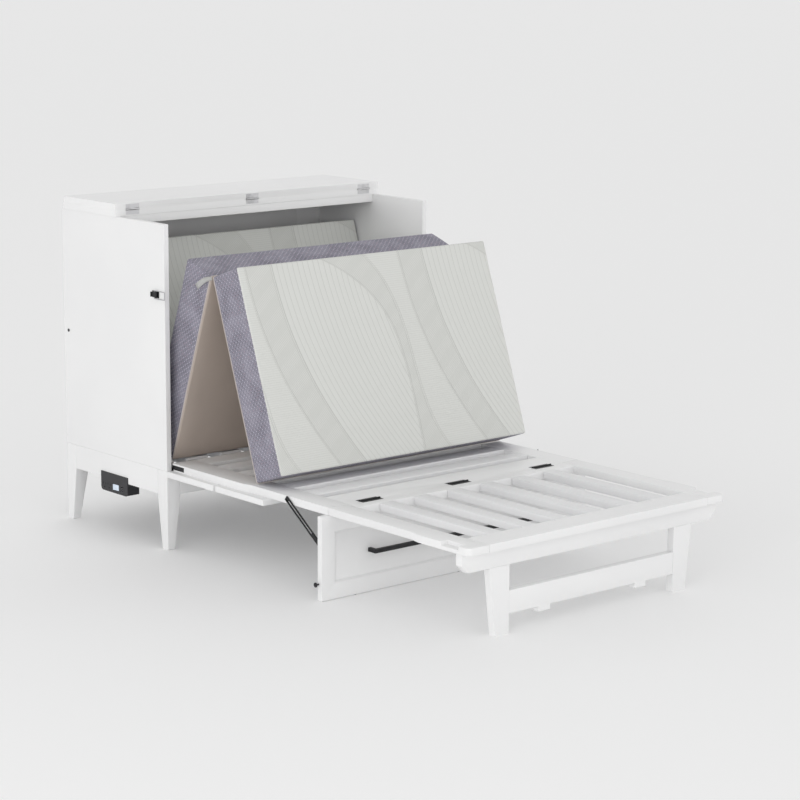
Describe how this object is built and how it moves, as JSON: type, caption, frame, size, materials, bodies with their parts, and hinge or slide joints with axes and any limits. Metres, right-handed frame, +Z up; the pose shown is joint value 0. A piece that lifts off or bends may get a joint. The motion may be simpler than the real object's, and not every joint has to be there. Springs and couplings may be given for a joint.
{
  "type": "murphy wall bed",
  "caption": "Low white cabinet with a slatted deck that folds out of its front in three sections, a hinged lid and a tri-fold mattress.",
  "frame": {"origin": "on the floor, under the middle of the whole object as it stands open", "axes": "+Z up, +Y towards the wall, +X to the right for someone facing the cabinet"},
  "size_m": [1.078, 1.923, 1.052],
  "materials": {
    "white_paint": "satin white paint on board",
    "slat_paint": "satin off-white paint on slats",
    "bright_steel": "bright plated steel",
    "black_steel": "black coated steel",
    "handle_black": "matt black powder coat",
    "wire_steel": "drawn steel wire",
    "black_plastic": "matt black plastic",
    "white_plastic": "smooth white plastic",
    "circuit_board": "green laminate",
    "mattress_fabric": "knitted mattress cover"
  },
  "bodies": {
    "cabinet": {"cabinet_legs": "white_paint", "base_side_rails": "white_paint", "base_cross_rails": "white_paint", "side_panel_left": "white_paint", "side_panel_right": "white_paint", "back_panel": "white_paint", "wall_cleat": "white_paint", "side_caps": "black_plastic", "lid_rail": "white_paint", "lid_rear": "white_paint", "lid_hinge_lower": "bright_steel", "lid_hinge_pins": "bright_steel", "head_slats": "slat_paint", "head_bearers": "slat_paint", "pivot_plates": "black_steel", "latch_bases": "black_steel", "charger_faceplate": "black_plastic", "charger_housing": "black_plastic", "charger_board": "circuit_board", "usb_ports": "wire_steel", "charger_inlet": "black_plastic"},
    "lid_front": {"lid_front": "white_paint", "lid_hinge_upper": "bright_steel"},
    "deck_middle": {"pivot_eyes": "black_steel", "middle_rails": "white_paint", "middle_head_board": "white_paint", "middle_slats": "slat_paint", "middle_end_board": "white_paint", "seam_leaves_middle": "black_steel", "seam_hinge_pins": "black_steel", "support_leaves_fixed": "black_steel", "stay_bolts": "black_steel", "drawer_front_lower": "white_paint", "drawer_front_middle": "white_paint", "front_handles": "handle_black"},
    "support_panel": {"support_panel": "white_paint", "support_handle": "handle_black", "support_leaves_moving": "black_steel", "support_glides": "black_plastic", "catch_knobs": "black_steel", "stay_pins": "black_steel"},
    "stay_left": {"stay_left": "black_steel"},
    "stay_right": {"stay_right": "black_steel"},
    "deck_foot": {"foot_rails": "white_paint", "foot_cross_boards": "white_paint", "foot_slats": "slat_paint", "seam_leaves_foot": "black_steel", "foot_apron": "white_paint", "leg_hinge_fixed": "black_steel"},
    "foot_leg_frame": {"leg_hinge_moving": "black_steel", "foot_legs": "white_paint", "foot_stretcher": "white_paint"},
    "latch_lever_left": {"latch_lever_left": "black_steel"},
    "latch_lever_right": {"latch_lever_right": "black_steel"},
    "latch_bail_left": {"latch_bail_left": "wire_steel"},
    "latch_bail_right": {"latch_bail_right": "wire_steel"},
    "charger_rocker": {"charger_rocker": "white_plastic"},
    "mattress_head": {"mattress_head_panel": "mattress_fabric"},
    "mattress_middle": {"mattress_middle_panel": "mattress_fabric"},
    "mattress_foot": {"mattress_foot_panel": "mattress_fabric"}
  },
  "joints": [
    {"name": "lid_fold", "type": "hinge", "parent": "cabinet", "child": "lid_front", "pos_m": [0, 0.6485, 1.032], "axis": [-1, 0, 0], "range_deg": [-180, 0]},
    {"name": "deck_fold", "type": "hinge", "parent": "cabinet", "child": "deck_middle", "pos_m": [0, 0.3985, 0.253], "axis": [1, 0, 0], "range_deg": [-90, 0]},
    {"name": "foot_section_fold", "type": "hinge", "parent": "deck_middle", "child": "deck_foot", "pos_m": [0, -0.3555, 0.2738], "axis": [1, 0, 0], "range_deg": [-180, 0]},
    {"name": "foot_leg_fold", "type": "hinge", "parent": "deck_foot", "child": "foot_leg_frame", "pos_m": [0, -0.9055, 0.195], "axis": [1, 0, 0], "range_deg": [0, 90]},
    {"name": "support_panel_fold", "type": "hinge", "parent": "deck_middle", "child": "support_panel", "pos_m": [0, -0.3435, 0.25], "axis": [-1, 0, 0], "range_deg": [-90, 0]},
    {"name": "stay_left_turn", "type": "hinge", "parent": "support_panel", "child": "stay_left", "pos_m": [-0.502, -0.3335, 0.15], "axis": [1, 0, 0], "range_deg": [-115.33, 0]},
    {"name": "stay_right_turn", "type": "hinge", "parent": "support_panel", "child": "stay_right", "pos_m": [0.502, -0.3335, 0.15], "axis": [1, 0, 0], "range_deg": [-115.33, 0]},
    {"name": "mattress_unfold", "type": "hinge", "parent": "cabinet", "child": "mattress_head", "pos_m": [0.0115, 0.49026, 0.53066], "axis": [-1, 0, 0], "range_deg": [0, 72.8], "deforming": ["mattress_head_panel", "mattress_middle_panel", "mattress_foot_panel"]},
    {"name": "mattress_middle_fold", "type": "hinge", "parent": "mattress_head", "child": "mattress_middle", "pos_m": [0.0115, 0.5531, 0.31884], "axis": [1, 0, 0], "range_deg": [0, 143.4]},
    {"name": "mattress_foot_fold", "type": "hinge", "parent": "mattress_middle", "child": "mattress_foot", "pos_m": [0.0115, 0.2165, 0.86823], "axis": [-1, 0, 0], "range_deg": [0, 141.2]},
    {"name": "latch_lever_left_turn", "type": "hinge", "parent": "cabinet", "child": "latch_lever_left", "pos_m": [-0.5315, 0.4325, 0.795], "axis": [0, 0, 1], "range_deg": [0, 110]},
    {"name": "latch_bail_left_swing", "type": "hinge", "parent": "latch_lever_left", "child": "latch_bail_left", "pos_m": [-0.533, 0.4405, 0.795], "axis": [0, 0, -1], "range_deg": [0, 143]},
    {"name": "latch_lever_right_turn", "type": "hinge", "parent": "cabinet", "child": "latch_lever_right", "pos_m": [0.5315, 0.4325, 0.795], "axis": [0, 0, -1], "range_deg": [0, 110]},
    {"name": "latch_bail_right_swing", "type": "hinge", "parent": "latch_lever_right", "child": "latch_bail_right", "pos_m": [0.533, 0.4405, 0.795], "axis": [0, 0, 1], "range_deg": [0, 143]},
    {"name": "charger_switch", "type": "hinge", "parent": "cabinet", "child": "charger_rocker", "pos_m": [-0.526, 0.6725, 0.1505], "axis": [0, 0, 1], "range_deg": [-14, 0]}
  ],
  "couplings": [
    {"joint": "foot_section_fold", "follows": "deck_fold", "ratio": 2},
    {"joint": "foot_leg_fold", "follows": "deck_fold", "ratio": -1},
    {"joint": "stay_left_turn", "follows": "support_panel_fold", "ratio": 1.2814},
    {"joint": "stay_right_turn", "follows": "support_panel_fold", "ratio": 1.2814},
    {"joint": "mattress_middle_fold", "follows": "mattress_unfold", "ratio": 1.9698},
    {"joint": "mattress_foot_fold", "follows": "mattress_unfold", "ratio": 1.9395},
    {"joint": "latch_bail_left_swing", "follows": "latch_lever_left_turn", "ratio": 1.3},
    {"joint": "latch_bail_right_swing", "follows": "latch_lever_right_turn", "ratio": 1.3}
  ]
}
